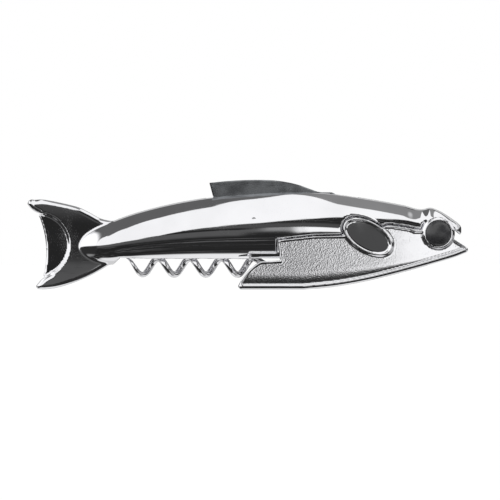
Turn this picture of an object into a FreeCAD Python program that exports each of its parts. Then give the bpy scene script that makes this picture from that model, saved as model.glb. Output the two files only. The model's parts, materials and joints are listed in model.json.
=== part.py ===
import FreeCAD, Part
import math
import os

# Fish-shaped waiter's corkscrew, in millimetres.
# +X points to the nose, +Z is up and Y is the thickness; the belly rests on Z = 0.

# ---- handle casting ----
# Fish body: station along X, back height, belly height, half width.
BODY_STATIONS = [
    (-58.0, 15.7, 13.1, 1.1),
    (-55.4, 18.6, 11.2, 3.1),
    (-52.5, 20.5, 9.7, 4.5),
    (-47.3, 22.8, 8.6, 5.9),
    (-41.0, 25.2, 8.5, 6.9),
    (-30.0, 28.3, 8.6, 7.9),
    (-12.5, 31.5, 8.7, 8.7),
    (1.0, 32.7, 8.6, 9.0),
    (13.0, 33.3, 8.6, 9.1),
    (25.0, 33.1, 8.6, 9.0),
    (41.5, 30.9, 8.6, 8.5),
    (53.0, 28.8, 9.6, 7.8),
    (59.8, 27.4, 11.0, 7.1),
    (62.2, 27.9, 11.7, 6.8),
    (65.3, 26.9, 13.1, 6.3),
    (69.5, 24.3, 15.8, 5.0),
    (72.2, 22.2, 18.0, 3.2),
    (73.0, 21.4, 19.2, 1.2),
]
TAIL_HALF = 2.3
WEB_HALF = 1.0
CORE_HALF = 6.0          # half width left between the lever's walls
CHANNEL_HALF = 4.4       # worm channel in the belly
CHANNEL_TOP = 15.5
CHANNEL_ENDS = (-43.5, 24.5)
SLOT_HALF = 1.2          # knife slot in the back
SLOT_FLOOR = 26.6
SLOT_ENDS = (-14.0, 37.5)
POCKET_ENDS = (-0.6, 31.4)   # deeper part of the slot, for the back spring
POCKET_FLOOR = 21.6
LUG_R = 4.2              # cheeks that carry the worm pin

# ---- pivots (X, Z) ----
EYE = (64.9, 19.1)
WORM_PIVOT = (17.9, 7.9)
KNIFE_PIVOT = (28.1, 30.2)
SPRING_PIVOT = (2.2, 23.9)
RUNNING_GAP = 0.05       # radial clearance of each turning joint
LEVER_GAP = 0.45         # seam between the lever and the casting

# ---- lever ----
WALL_IN = 6.3
WALL_OUT = 8.3
EAR_R = 5.6
SPINE_T = 1.8
SPINE_ENDS = (23.0, 61.0)
FIN_CENTRE = (40.9, 18.0)
FIN_RADII = (8.4, 4.3)   # dished side fin
FIN_TILT = -30.0
FIN_RIM = 0.9
FIN_PROUD = 0.35
FIN_DISH = 0.5
RING_R = 5.1             # raised ring round the eye
RING_PROUD = 0.4

# ---- pins, caps, worm, knife ----
LEVER_PIN_R = 2.0
CAP_R = 4.2
CAP_H = 2.0
CAP_STEM_R = 1.0
CAP_STEM_L = 1.5
WORM_PIN_R = 1.25
WIRE_R = 1.1
WORM_R = 2.8             # helix radius at the middle of the wire
WORM_PITCH = 10.8
WORM_TIP_X = -41.2
WORM_TURNS = 4.0
WORM_EYE_R = 3.4
WORM_EYE_HALF = 1.3
SPACER_R = 2.4
KNIFE_HALF = 0.9
KNIFE_PIN_R = 1.25
TANG_R = 3.0
SPRING_PIN_R = 0.75
SPRING_BOSS_R = 1.7


def at(point, y=0.0):
    return FreeCAD.Vector(point[0], y, point[1])


def line(*points):
    return Part.makePolygon([at(p) for p in points]).Edges


def spline(*points):
    curve = Part.BSplineCurve()
    curve.interpolate([at(p) for p in points])
    return [curve.toShape()]


def arc(start, middle, end):
    return [Part.Arc(at(start), at(middle), at(end)).toShape()]


def around(centre, radius, angle):
    turn = math.radians(angle)
    return (centre[0] + radius * math.cos(turn), centre[1] + radius * math.sin(turn))


def round_arc(centre, radius, first, last):
    points = [around(centre, radius, a) for a in (first, 0.5 * (first + last), last)]
    return arc(*points)


def prism(edges, y_from, y_to):
    wire = Part.Wire(Part.__sortEdges__(edges))
    face = Part.Face(wire)
    face.translate(FreeCAD.Vector(0, y_from, 0))
    return face.extrude(FreeCAD.Vector(0, y_to - y_from, 0))


def closed(*points):
    return line(*points, points[0])


def rod(centre, radius, y_from, y_to):
    return Part.makeCylinder(radius, y_to - y_from, at(centre, y_from), FreeCAD.Vector(0, 1, 0))


def box(x_ends, y_ends, z_ends):
    corner = FreeCAD.Vector(x_ends[0], y_ends[0], z_ends[0])
    return Part.makeBox(x_ends[1] - x_ends[0], y_ends[1] - y_ends[0], z_ends[1] - z_ends[0], corner)


def mirrored(shape):
    return shape.mirror(FreeCAD.Vector(0, 0, 0), FreeCAD.Vector(0, 1, 0))


def both_sides(shape):
    return shape.fuse(mirrored(shape))


def oval(centre, radii, tilt, y_from, y_to):
    along = around((0, 0), radii[0], tilt)
    across = around((0, 0), radii[1], tilt + 90)
    middle = at(centre)
    curve = Part.Ellipse(middle + at(along), middle + at(across), middle)
    return prism([curve.toShape()], y_from, y_to)


# ---- handle casting ----

def body_section(x, back, belly, half):
    circle = Part.makeCircle(1.0, FreeCAD.Vector(0, 0, 0), FreeCAD.Vector(1, 0, 0))
    place = FreeCAD.Matrix()
    place.scale(1.0, half, 0.5 * (back - belly))
    place.move(FreeCAD.Vector(x, 0, 0.5 * (back + belly)))
    return Part.Wire([circle.transformGeometry(place)])


def fish_body():
    return Part.makeLoft([body_section(*station) for station in BODY_STATIONS], True, True)


def tail():
    upper = spline((-46.0, 23.3), (-50.2, 24.3), (-54.1, 26.4), (-58.0, 28.2), (-64.5, 29.8),
                   (-69.7, 30.7), (-72.8, 30.6))
    upper_tip = arc((-72.8, 30.6), (-74.75, 30.1), (-74.95, 28.9))
    upper_edge = spline((-74.95, 28.9), (-73.4, 27.2), (-71.4, 26.0))
    bowl = arc((-71.4, 26.0), (-60.9, 15.3), (-67.1, 5.5))
    lower_edge = spline((-67.1, 5.5), (-70.0, 3.7), (-71.9, 1.6))
    lower_tip = arc((-71.9, 1.6), (-71.9, 0.6), (-71.0, 0.1))
    lower = spline((-71.0, 0.1), (-68.6, 0.1), (-64.5, 0.7), (-59.3, 2.3), (-54.1, 4.5), (-50.2, 6.6),
                   (-46.0, 9.2))
    root = line((-46.0, 9.2), (-46.0, 23.3))
    plate = prism(upper + upper_tip + upper_edge + bowl + lower_edge + lower_tip + lower + root,
                  -TAIL_HALF, TAIL_HALF)
    lip = arc((-71.3, 25.6), (-68.6, 13.6), (-69.6, 4.6))
    behind = line((-69.6, 4.6), (-62.0, 4.6), (-58.5, 15.3), (-62.0, 25.6), (-71.3, 25.6))
    return plate.fuse(prism(lip + behind, -WEB_HALF, WEB_HALF))


def lever_recess():
    """Side view of everything that the lever covers or sweeps, for cutting the casting narrower."""
    ear = EAR_R + LEVER_GAP
    shoulder = around(EYE, 14.0, 118)
    edges = line((1.0, -2.0), (1.0, 12.5), (9.9, 12.5), (9.9, 17.3), (22.3, 18.7), (32.5, 18.9),
                 (45.2, 21.2), (46.7, 22.2), (49.0, 22.35), (55.6, 21.3), around(EYE, ear, 166))
    edges += round_arc(EYE, ear, 166, 118)
    edges += line(around(EYE, ear, 118), shoulder, (80.0, 31.5), (80.0, -2.0), (1.0, -2.0))
    beside = prism(edges, CORE_HALF, 12.0)
    fin = [r + FIN_RIM + LEVER_GAP for r in FIN_RADII]
    return both_sides(beside.fuse(oval(FIN_CENTRE, fin, FIN_TILT, CORE_HALF, 12.0)))


def mouth():
    throat = round_arc(EYE, 4.9, 5, -80)
    edges = line((80.0, 14.0), (72.2, 18.9), (69.5, 21.3), around(EYE, 4.9, 5)) + throat
    edges += line(around(EYE, 4.9, -80), (62.5, 11.5), (62.5, -2.0), (80.0, -2.0), (80.0, 14.0))
    return prism(edges, -12.0, 12.0)


def worm_channel():
    straight = CHANNEL_TOP - CHANNEL_HALF
    length = CHANNEL_ENDS[1] - CHANNEL_ENDS[0]
    slot = box(CHANNEL_ENDS, (-CHANNEL_HALF, CHANNEL_HALF), (-2.0, straight))
    crown = Part.makeCylinder(CHANNEL_HALF, length, FreeCAD.Vector(CHANNEL_ENDS[0], 0, straight),
                              FreeCAD.Vector(1, 0, 0))
    return slot.fuse(crown)


def worm_cheeks():
    x, z = WORM_PIVOT
    upright = box((x - LUG_R, x + LUG_R), (CHANNEL_HALF, CORE_HALF), (z, 15.0))
    return both_sides(rod(WORM_PIVOT, LUG_R, CHANNEL_HALF, CORE_HALF).fuse(upright))


def knife_slot():
    slot = box(SLOT_ENDS, (-SLOT_HALF, SLOT_HALF), (SLOT_FLOOR, 40.0))
    pocket = box(POCKET_ENDS, (-SLOT_HALF, SLOT_HALF), (POCKET_FLOOR, SLOT_FLOOR + 1.0))
    return slot.fuse(pocket)


def handle_body():
    shape = fish_body().fuse(tail())
    shape = shape.cut(lever_recess())
    shape = shape.cut(mouth())
    shape = shape.fuse(worm_cheeks())
    shape = shape.cut(worm_channel())
    shape = shape.cut(knife_slot())
    shape = shape.cut(rod(EYE, LEVER_PIN_R + RUNNING_GAP, -12, 12))
    shape = shape.cut(rod(WORM_PIVOT, WORM_PIN_R, -12, 12))
    shape = shape.cut(rod(KNIFE_PIVOT, KNIFE_PIN_R, -4.0, 12))
    shape = shape.cut(rod(SPRING_PIVOT, SPRING_PIN_R, -12, 12))
    return shape.removeSplitter()


# ---- boot lever ----

BELLY = [(19.0, 0.0), (30.2, 1.15), (41.5, 3.2), (52.8, 6.0), (64.1, 9.15), (70.5, 11.1), (74.3, 12.6)]


def lever_side():
    foot = line((-2.4, 0.0), (19.0, 0.0))
    belly = spline(*BELLY)
    jaw_tip = arc((74.3, 12.6), (75.0, 13.5), (74.5, 14.5))
    jaw = line((74.5, 14.5), around(EYE, EAR_R, -19))
    ear = round_arc(EYE, EAR_R, -19, 168)
    top = line(around(EYE, EAR_R, 168), (57.2, 20.1), (55.4, 20.8), (48.9, 21.8), (46.9, 21.7), (45.2, 20.7),
               (32.5, 18.4), (22.3, 18.2), (10.4, 16.9), (11.1, 9.9), (4.4, 9.6))
    heel = arc((4.4, 9.6), (-0.6, 5.5), (-3.3, 1.0))
    toe = line((-3.3, 1.0), (-2.4, 0.0))
    return prism(foot + belly + jaw_tip + jaw + ear + top + heel + toe, WALL_IN, WALL_OUT)


def lever_spine():
    lifted = [(x - 0.25 * SPINE_T, z + SPINE_T) for x, z in BELLY]
    ends = line(BELLY[-1], lifted[-1]) + line(lifted[0], BELLY[0])
    band = prism(spline(*BELLY) + ends + spline(*lifted), -WALL_IN, WALL_IN)
    return band.common(box(SPINE_ENDS, (-WALL_IN, WALL_IN), (-1.0, 20.0)))


def boot_lever():
    rim = [r + FIN_RIM for r in FIN_RADII]
    side = lever_side()
    side = side.fuse(oval(FIN_CENTRE, rim, FIN_TILT, WALL_IN, WALL_OUT + FIN_PROUD))
    side = side.fuse(rod(EYE, RING_R, WALL_IN, WALL_OUT + RING_PROUD))
    side = side.cut(oval(FIN_CENTRE, FIN_RADII, FIN_TILT, WALL_OUT - FIN_DISH, WALL_OUT + 2.0))
    side = side.cut(rod(EYE, CAP_R + RUNNING_GAP, WALL_OUT, WALL_OUT + 2.0))
    side = side.cut(rod(EYE, LEVER_PIN_R, 0, 12))
    return both_sides(side).fuse(lever_spine()).removeSplitter()


def lever_pin():
    shaft = rod(EYE, LEVER_PIN_R, -WALL_OUT, WALL_OUT)
    for y_from in (-WALL_OUT, WALL_OUT - CAP_STEM_L):
        shaft = shaft.cut(rod(EYE, CAP_STEM_R, y_from, y_from + CAP_STEM_L))
    return shaft


def eye_cap(side):
    """Domed cap with a short stem; side is -1 for the front and +1 for the rear."""
    ball_r = (CAP_R ** 2 + CAP_H ** 2) / (2 * CAP_H)
    ball = Part.makeSphere(ball_r, at(EYE, WALL_OUT + CAP_H - ball_r))
    dome = ball.common(rod(EYE, CAP_R + 1.0, WALL_OUT, WALL_OUT + CAP_H + 1.0))
    cap = dome.fuse(rod(EYE, CAP_STEM_R, WALL_OUT - CAP_STEM_L, WALL_OUT))
    if side < 0:
        cap = mirrored(cap)
    return cap.removeSplitter()


# ---- corkscrew worm ----

def wire_between(start, end):
    along = end - start
    return Part.makeCylinder(WIRE_R, along.Length, start, along).fuse(Part.makeSphere(WIRE_R, end))


def worm_point(turns):
    """Middle of the wire; the helix starts at the top of a turn and comes down on the front side."""
    turn = 2 * math.pi * turns
    return FreeCAD.Vector(WORM_TIP_X + WORM_PITCH * turns, -WORM_R * math.sin(turn),
                          WORM_PIVOT[1] + WORM_R * math.cos(turn))


def corkscrew_worm():
    length = WORM_PITCH * WORM_TURNS
    helix = Part.makeHelix(WORM_PITCH, length, WORM_R)
    start = FreeCAD.Vector(WORM_R, 0, 0)
    tangent = FreeCAD.Vector(0, 2 * math.pi * WORM_R, WORM_PITCH)
    circle = Part.Wire([Part.Circle(start, tangent, WIRE_R).toShape()])
    coil = Part.Wire(helix.Edges).makePipeShell([circle], True, True)
    point = Part.makeCone(WIRE_R, 0.15, 2.6, start, -tangent)
    coil = coil.fuse(point)
    coil.rotate(FreeCAD.Vector(0, 0, 0), FreeCAD.Vector(0, 1, 0), 90)
    coil.rotate(FreeCAD.Vector(0, 0, 0), FreeCAD.Vector(1, 0, 0), 180)
    coil.translate(FreeCAD.Vector(WORM_TIP_X, 0, WORM_PIVOT[1]))
    last = worm_point(WORM_TURNS)
    elbow = FreeCAD.Vector(last.x + 5.0, 0, WORM_PIVOT[1])
    shank = Part.makeSphere(WIRE_R, last).fuse(wire_between(last, elbow))
    shank = shank.fuse(wire_between(elbow, at(WORM_PIVOT) - FreeCAD.Vector(WORM_EYE_R - 0.8, 0, 0)))
    eye = rod(WORM_PIVOT, WORM_EYE_R, -WORM_EYE_HALF, WORM_EYE_HALF)
    shape = coil.fuse(shank).fuse(eye)
    return shape.cut(rod(WORM_PIVOT, WORM_PIN_R + RUNNING_GAP, -3, 3)).removeSplitter()


def worm_pin():
    return rod(WORM_PIVOT, WORM_PIN_R, -CORE_HALF, CORE_HALF)


def worm_spacer(side):
    inner = WORM_EYE_HALF + 0.1
    tube = rod(WORM_PIVOT, SPACER_R, inner, CHANNEL_HALF).cut(rod(WORM_PIVOT, WORM_PIN_R, 0, 6))
    if side < 0:
        return mirrored(tube)
    return tube


# ---- foil knife ----

def foil_knife():
    x, z = KNIFE_PIVOT
    back = spline((x, z + TANG_R), (24.4, 33.3), (21.6, 34.2), (17.1, 35.8), (12.5, 36.8), (8.0, 37.3),
                  (1.5, 37.4), (-5.7, 37.1), (-13.0, 36.4))
    end = line((-13.0, 36.4), (-11.8, 31.9), (-10.6, 28.6))
    edge = spline((-10.6, 28.6), (0.0, 27.7), (16.0, 27.25), (x, z - TANG_R))
    tang = round_arc(KNIFE_PIVOT, TANG_R, -90, 90)
    blade = prism(back + end + edge + tang, -KNIFE_HALF, KNIFE_HALF)
    return blade.cut(rod(KNIFE_PIVOT, KNIFE_PIN_R + RUNNING_GAP, -3, 3))


def knife_pin():
    return rod(KNIFE_PIVOT, KNIFE_PIN_R, -4.0, 5.3)


def knife_spring():
    x, z = SPRING_PIVOT
    leaf = closed((x, z - 1.3), (30.4, 25.3), (30.4, 26.9), (24.0, 26.8), (x + 3.0, 25.5), (x, 25.5))
    leaf = prism(leaf, -KNIFE_HALF, KNIFE_HALF)
    leaf = leaf.fuse(rod(SPRING_PIVOT, SPRING_BOSS_R, -KNIFE_HALF, KNIFE_HALF))
    return leaf.cut(rod(SPRING_PIVOT, SPRING_PIN_R, -3, 3)).removeSplitter()


def spring_pin():
    return rod(SPRING_PIVOT, SPRING_PIN_R, -8.65, 8.65)


def main():
    pieces = {
        "handle_body": handle_body(),
        "boot_lever": boot_lever(),
        "lever_pin": lever_pin(),
        "eye_cap_front": eye_cap(-1),
        "eye_cap_rear": eye_cap(1),
        "corkscrew_worm": corkscrew_worm(),
        "worm_pin": worm_pin(),
        "worm_spacer_front": worm_spacer(-1),
        "worm_spacer_rear": worm_spacer(1),
        "foil_knife": foil_knife(),
        "knife_pin": knife_pin(),
        "knife_spring": knife_spring(),
        "spring_pin": spring_pin(),
    }
    os.makedirs("parts", exist_ok=True)
    for name, shape in pieces.items():
        shape.exportStep("parts/" + name + ".step")
        limits = shape.optimalBoundingBox(False)
        print(name, shape.isValid(), len(shape.Solids), round(shape.Volume, 1),
              [round(v, 2) for v in (limits.XMin, limits.XMax, limits.YMin, limits.YMax,
                                     limits.ZMin, limits.ZMax)])


main()
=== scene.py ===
"""Fish-shaped waiter's corkscrew: cast shells, worm, blade, eye caps and their finishes."""

import itertools
import json
import math

import bpy
import numpy as np
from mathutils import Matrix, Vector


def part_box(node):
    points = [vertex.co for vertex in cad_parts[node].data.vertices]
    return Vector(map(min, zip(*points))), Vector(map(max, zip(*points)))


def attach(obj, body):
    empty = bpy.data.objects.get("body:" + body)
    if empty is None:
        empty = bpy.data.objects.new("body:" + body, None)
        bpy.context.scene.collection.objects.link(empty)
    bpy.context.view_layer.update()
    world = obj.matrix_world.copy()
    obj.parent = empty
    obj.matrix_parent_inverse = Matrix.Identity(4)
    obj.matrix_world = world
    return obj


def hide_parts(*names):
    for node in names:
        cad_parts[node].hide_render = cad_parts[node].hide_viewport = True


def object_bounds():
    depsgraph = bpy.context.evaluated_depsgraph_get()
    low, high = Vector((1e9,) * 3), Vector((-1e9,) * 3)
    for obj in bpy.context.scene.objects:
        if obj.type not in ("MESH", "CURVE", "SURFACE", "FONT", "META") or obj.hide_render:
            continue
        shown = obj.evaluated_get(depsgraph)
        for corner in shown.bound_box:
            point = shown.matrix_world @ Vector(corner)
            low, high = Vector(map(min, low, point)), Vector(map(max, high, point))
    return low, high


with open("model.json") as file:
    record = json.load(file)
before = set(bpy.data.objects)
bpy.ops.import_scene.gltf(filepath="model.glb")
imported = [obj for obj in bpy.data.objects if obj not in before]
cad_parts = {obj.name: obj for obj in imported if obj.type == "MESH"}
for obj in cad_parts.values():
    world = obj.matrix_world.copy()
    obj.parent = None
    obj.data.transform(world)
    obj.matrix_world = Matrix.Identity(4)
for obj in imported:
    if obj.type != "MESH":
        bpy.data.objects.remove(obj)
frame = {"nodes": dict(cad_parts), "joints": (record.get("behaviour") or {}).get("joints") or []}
CAD_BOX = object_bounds()

bl_info = {
    "name": "Fish corkscrew",
    "version": (1, 0, 0),
    "blender": (4, 5, 0),
    "location": "View3D > Sidebar > Fish corkscrew",
    "description": "Builds the looks of a fish-shaped corkscrew round its packed frame",
    "category": "Add Mesh",
}

MM = 0.001
MICRON = 0.000001
CAMERA_SHIFT = 0.00085       # along X, in metres, so that the fish stands in the middle of the picture


def pivot(joint_name):
    """Side-view place (X, Z) of a joint, in millimetres."""
    joint = next(j for j in frame["joints"] if j["name"] == joint_name)
    return joint["pos_m"][0] / MM, joint["pos_m"][2] / MM


EYE = pivot("lever_swing")
WORM_PIVOT = pivot("worm_swing")
KNIFE_PIVOT = pivot("knife_swing")

# Fish body, in millimetres: place along X, back height, belly height, half width.
BODY_STATIONS = np.array([
    (-58.0, 15.7, 13.1, 1.1),
    (-55.4, 18.6, 11.2, 3.1),
    (-52.5, 20.5, 9.7, 4.5),
    (-47.3, 22.8, 8.6, 5.9),
    (-41.0, 25.2, 8.5, 6.9),
    (-30.0, 28.3, 8.6, 7.9),
    (-12.5, 31.5, 8.7, 8.7),
    (1.0, 32.7, 8.6, 9.0),
    (13.0, 33.3, 8.6, 9.1),
    (25.0, 33.1, 8.6, 9.0),
    (41.5, 30.9, 8.6, 8.5),
    (53.0, 28.8, 9.6, 7.8),
    (59.8, 27.4, 11.0, 7.1),
    (62.2, 27.9, 11.7, 6.8),
    (65.3, 26.9, 13.1, 6.3),
    (69.5, 24.3, 15.8, 5.0),
    (72.2, 22.2, 18.0, 3.2),
    (73.0, 21.4, 19.2, 1.2),
])
BODY_ENDS = (-58.0, 72.9)
TAIL_HALF = 2.3
TAIL_MIDDLE = 15.4           # height of the tail's middle, where its plate is thickest
TAIL_CROWN = 0.25            # what each side loses from there to the tips
TAIL_ROOT = -45.0            # behind here each side thins at the taper's rate
TAIL_TAPER = 0.02
WEB_HALF = 1.0
WEB_ROOT = -61.0
WEB_TAPER = 0.03
CORE_HALF = 6.0
WAIST_END = 11.5             # behind here the recessed core is thinner on each side
WAIST_DEPTH = 0.8
DRAFT_TOP = 13.0             # below here the core's sides lean in at the draft's rate
DRAFT = 0.12
FIN_GAP = 1.35               # room in the body round the side fin
CHANNEL_HALF = 4.4
CHANNEL_SPRING = 11.1        # height where the channel's walls turn into its round roof
CHANNEL_ENDS = (-43.5, 24.5)
CHANNEL_RAMP_TOP = 10.8      # below here the channel's rear end leans outwards
SLOT_HALF = 1.2
SLOT_FLOOR = 26.6
SLOT_ENDS = (-14.0, 37.5)
CHEEK_R = 4.2
CHEEK_TOP = 15.0
WALL_IN = 6.3
WALL_OUT = 8.3
EAR_R = 5.6
SPINE_T = 1.8
SPINE_ENDS = (23.0, 61.0)
FIN_CENTRE = (40.9, 18.0)
FIN_RADII = (8.4, 4.3)
FIN_TILT = math.radians(-30.0)
FIN_FLANGE = 0.9             # the lever's wall reaches this far past the side fin's oval
FIN_DISH = 0.34              # depth inside the oval, and what it gains with height
FIN_DISH_SLOPE = 0.045
FIN_DISH_CROWN = 0.05
FIN_BEAD = (0.4, 0.28, 0.32)     # distance from the oval, width and height of its bead
EYE_BEAD = (4.64, 0.3, 0.4)      # the same from the middle of the eye
BELLY_RIM = 1.5
EDGE_RIM = 0.45
FACE_DROP = 0.3              # depth of the pebbled face below its rims
HEAD_DROP = 0.5              # what it gains towards the head
BELLY_DROP = 0.12            # what it gains towards the belly for each millimetre of reach
BELLY_REACH = 4.6            # how far up the face that goes, and what it loses towards the head
BELLY_REACH_LOSS = 3.2
PEBBLE_FADE = (42.0, 14.0)   # start and length, along X, of the stretch where the pebble softens
PEBBLE_LOSS = 0.65
BLADE_HALF = 0.9
BACK_BEVEL = (0.34, 0.4)     # depth and width of the bevel on the blade's back
GROUND_BEVEL = (0.78, 2.8)   # the same on its ground edge
CAP_SKIRT = 0.35             # straight side of an eye cap below its dome
WORM_TIP_BACK = 106.1        # from the eye's middle back to the worm's point
STEPS_PER_TURN = 40
POINT_STEPS = 26.0           # steps in which the wire grows from its point to full thickness
BEND_STEPS = 12
BEND_LENGTH = 6.0            # along the axis, from the last turn to the straight shank
SHANK_GAP = 2.4              # from the shank's end to the worm's pivot


# ---- curves in the side view ----

def straight(*points):
    return [np.array(points, float)]


def curve_through(*points, per=6):
    """Smooth line through the points, with evenly changing direction."""
    points = np.array(points, float)
    before = np.vstack([2 * points[0] - points[1], points, 2 * points[-1] - points[-2]])
    rows = []
    for i in range(len(points) - 1):
        p0, p1, p2, p3 = before[i:i + 4]
        t = np.linspace(0, 1, per, endpoint=False)[:, None]
        rows.append(0.5 * (2 * p1 + (p2 - p0) * t + (2 * p0 - 5 * p1 + 4 * p2 - p3) * t ** 2
                           + (3 * p1 - p0 - 3 * p2 + p3) * t ** 3))
    rows.append(points[-1:])
    return [np.vstack(rows)]


def arc_through(start, middle, end, steps=16):
    (ax, az), (bx, bz), (cx, cz) = start, middle, end
    twice = 2 * (ax * (bz - cz) + bx * (cz - az) + cx * (az - bz))
    a2, b2, c2 = ax * ax + az * az, bx * bx + bz * bz, cx * cx + cz * cz
    centre = np.array([(a2 * (bz - cz) + b2 * (cz - az) + c2 * (az - bz)) / twice,
                       (a2 * (cx - bx) + b2 * (ax - cx) + c2 * (bx - ax)) / twice])
    radius = np.hypot(ax - centre[0], az - centre[1])
    angles = np.unwrap([math.atan2(p[1] - centre[1], p[0] - centre[0]) for p in (start, middle, end)])
    swing = np.linspace(angles[0], angles[2], steps + 1)
    return [centre + radius * np.column_stack([np.cos(swing), np.sin(swing)])]


def around(centre, radius, degrees):
    turn = math.radians(degrees)
    return (centre[0] + radius * math.cos(turn), centre[1] + radius * math.sin(turn))


def round_arc(centre, radius, first, last, steps=16):
    swing = np.radians(np.linspace(first, last, steps + 1))
    return [np.array(centre) + radius * np.column_stack([np.cos(swing), np.sin(swing)])]


def joined(*runs):
    """One line from several, without the points that two runs share."""
    points = np.vstack([run for runs_list in runs for run in runs_list])
    apart = np.linalg.norm(points - np.roll(points, 1, axis=0), axis=1) > 1e-3
    return points[apart]


def tail_outline():
    upper = curve_through((-46.0, 23.3), (-50.2, 24.3), (-54.1, 26.4), (-58.0, 28.2), (-64.5, 29.8),
                          (-69.7, 30.7), (-72.8, 30.6))
    upper_tip = arc_through((-72.8, 30.6), (-74.75, 30.1), (-74.95, 28.9), 6)
    upper_edge = curve_through((-74.95, 28.9), (-73.4, 27.2), (-71.4, 26.0))
    beyond = straight((-80.0, 15.0))
    lower_edge = curve_through((-67.1, 5.5), (-70.0, 3.7), (-71.9, 1.6))
    lower_tip = arc_through((-71.9, 1.6), (-71.9, 0.6), (-71.0, 0.1), 5)
    lower = curve_through((-71.0, 0.1), (-68.6, 0.1), (-64.5, 0.7), (-59.3, 2.3), (-54.1, 4.5),
                          (-50.2, 6.6), (-46.0, 9.2))
    return joined(upper, upper_tip, upper_edge, beyond, lower_edge, lower_tip, lower)


def bowl_outline():
    """Round bite between the two forks of the tail."""
    bite = arc_through((-71.4, 26.0), (-60.9, 15.3), (-67.1, 5.5), 30)
    return joined(bite, straight((-82.0, 6.0), (-84.0, 26.0)))


def web_outline():
    lip = arc_through((-71.3, 25.6), (-68.6, 13.6), (-69.6, 4.6), 24)
    return joined(lip, straight((-62.0, 4.6), (-58.5, 15.3), (-62.0, 25.6)))


def recess_outline():
    ear = EAR_R + 0.45
    shoulder = around(EYE, 14.0, 118)
    return joined(straight((1.0, -2.0), (1.0, 12.5), (9.9, 12.5), (9.9, 17.3), (22.3, 18.7), (32.5, 18.9),
                           (45.2, 21.2), (46.7, 22.2), (49.0, 22.35), (55.6, 21.3)),
                  round_arc(EYE, ear, 166, 118), straight(shoulder, (80.0, 31.5), (80.0, -2.0)))


def mouth_outline():
    return joined(straight((80.0, 14.0), (72.2, 18.9), (69.5, 21.3)), round_arc(EYE, 4.9, 5, -80),
                  straight((62.5, 11.5), (62.5, -2.0), (80.0, -2.0)))


def belly_line():
    return joined(straight((-3.3, 1.0), (-2.4, 0.0), (19.0, 0.0)),
                  curve_through((19.0, 0.0), (30.2, 1.15), (41.5, 3.2), (52.8, 6.0), (64.1, 9.15),
                                (70.5, 11.1), (74.3, 12.6)))


def lever_outline():
    jaw_tip = arc_through((74.3, 12.6), (75.0, 13.5), (74.5, 14.5), 5)
    top = straight((57.2, 20.1), (55.4, 20.8), (48.9, 21.8), (46.9, 21.7), (45.2, 20.7), (32.5, 18.4),
                   (22.3, 18.2), (10.4, 16.9), (11.1, 9.9), (4.4, 9.6))
    heel = arc_through((4.4, 9.6), (-0.6, 5.5), (-3.3, 1.0), 12)
    return joined([belly_line()], jaw_tip, round_arc(EYE, EAR_R, -19, 168, 28), top, heel)


def knife_outline():
    x, z = KNIFE_PIVOT
    back = curve_through((x, z + 3.0), (24.4, 33.3), (21.6, 34.2), (17.1, 35.8), (12.5, 36.8),
                         (8.0, 37.3), (1.5, 37.4), (-5.7, 37.1), (-13.0, 36.4))
    end = straight((-13.0, 36.4), (-11.8, 31.9), (-10.6, 28.6))
    edge = curve_through((-10.6, 28.6), (0.0, 27.7), (16.0, 27.25), (x, z - 3.0))
    return joined(back, end, edge, round_arc(KNIFE_PIVOT, 3.0, -90, 90, 14))


# ---- distances, in millimetres, below zero inside ----

def line_distance(line, x, z, closed):
    """Distance to a line in the side view, and whether each point lies inside it."""
    nearest = np.full(np.broadcast(x, z).shape, np.inf)
    inside = np.zeros(nearest.shape, bool)
    ends = np.roll(line, -1, axis=0)
    count = len(line) if closed else len(line) - 1
    for (ax, az), (bx, bz) in zip(line[:count], ends[:count]):
        ex, ez = bx - ax, bz - az
        along = np.clip(((x - ax) * ex + (z - az) * ez) / (ex * ex + ez * ez), 0, 1)
        nearest = np.minimum(nearest, (x - ax - along * ex) ** 2 + (z - az - along * ez) ** 2)
        if closed and abs(ez) > 1e-9:
            crosses = (az > z) != (bz > z)
            inside ^= crosses & (x < ax + (z - az) * ex / ez)
    return np.sqrt(nearest), inside


def outline_distance(loop, x, z):
    distance, inside = line_distance(loop, x, z, True)
    return np.where(inside, -distance, distance)


def blend_max(a, b, soft):
    """Larger of two distances, with a rounded edge of about the size soft."""
    gap = np.maximum(soft - np.abs(a - b), 0) / soft
    return np.maximum(a, b) + 0.25 * soft * gap * gap


def blend_min(a, b, soft):
    return -blend_max(-a, -b, soft)


def rounded_plate(flat, face, radius):
    """Plate with the side-view distance flat and the face distance face, with rounded edges."""
    a = flat + radius
    b = face + radius
    return np.hypot(np.maximum(a, 0), np.maximum(b, 0)) + np.minimum(np.maximum(a, b), 0) - radius


def step_up(value, start, width):
    """Smooth rise from 0 to 1 over a width."""
    t = np.clip((value - start) / width, 0, 1)
    return t * t * (3 - 2 * t)


def bead(distance, place, width, height):
    """Small round ridge at a place along a distance."""
    return height * np.exp(-((distance - place) / width) ** 2)


def oval_place(x, z):
    """Oval fin's own measure: 1 on its edge, with the distance from that edge."""
    u = (x - FIN_CENTRE[0]) * math.cos(FIN_TILT) + (z - FIN_CENTRE[1]) * math.sin(FIN_TILT)
    v = (z - FIN_CENTRE[1]) * math.cos(FIN_TILT) - (x - FIN_CENTRE[0]) * math.sin(FIN_TILT)
    ratio = np.sqrt((u / FIN_RADII[0]) ** 2 + (v / FIN_RADII[1]) ** 2) + 1e-6
    steepness = np.hypot(u / FIN_RADII[0] ** 2, v / FIN_RADII[1] ** 2) / ratio + 1e-6
    return ratio, (ratio - 1) / steepness


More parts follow.
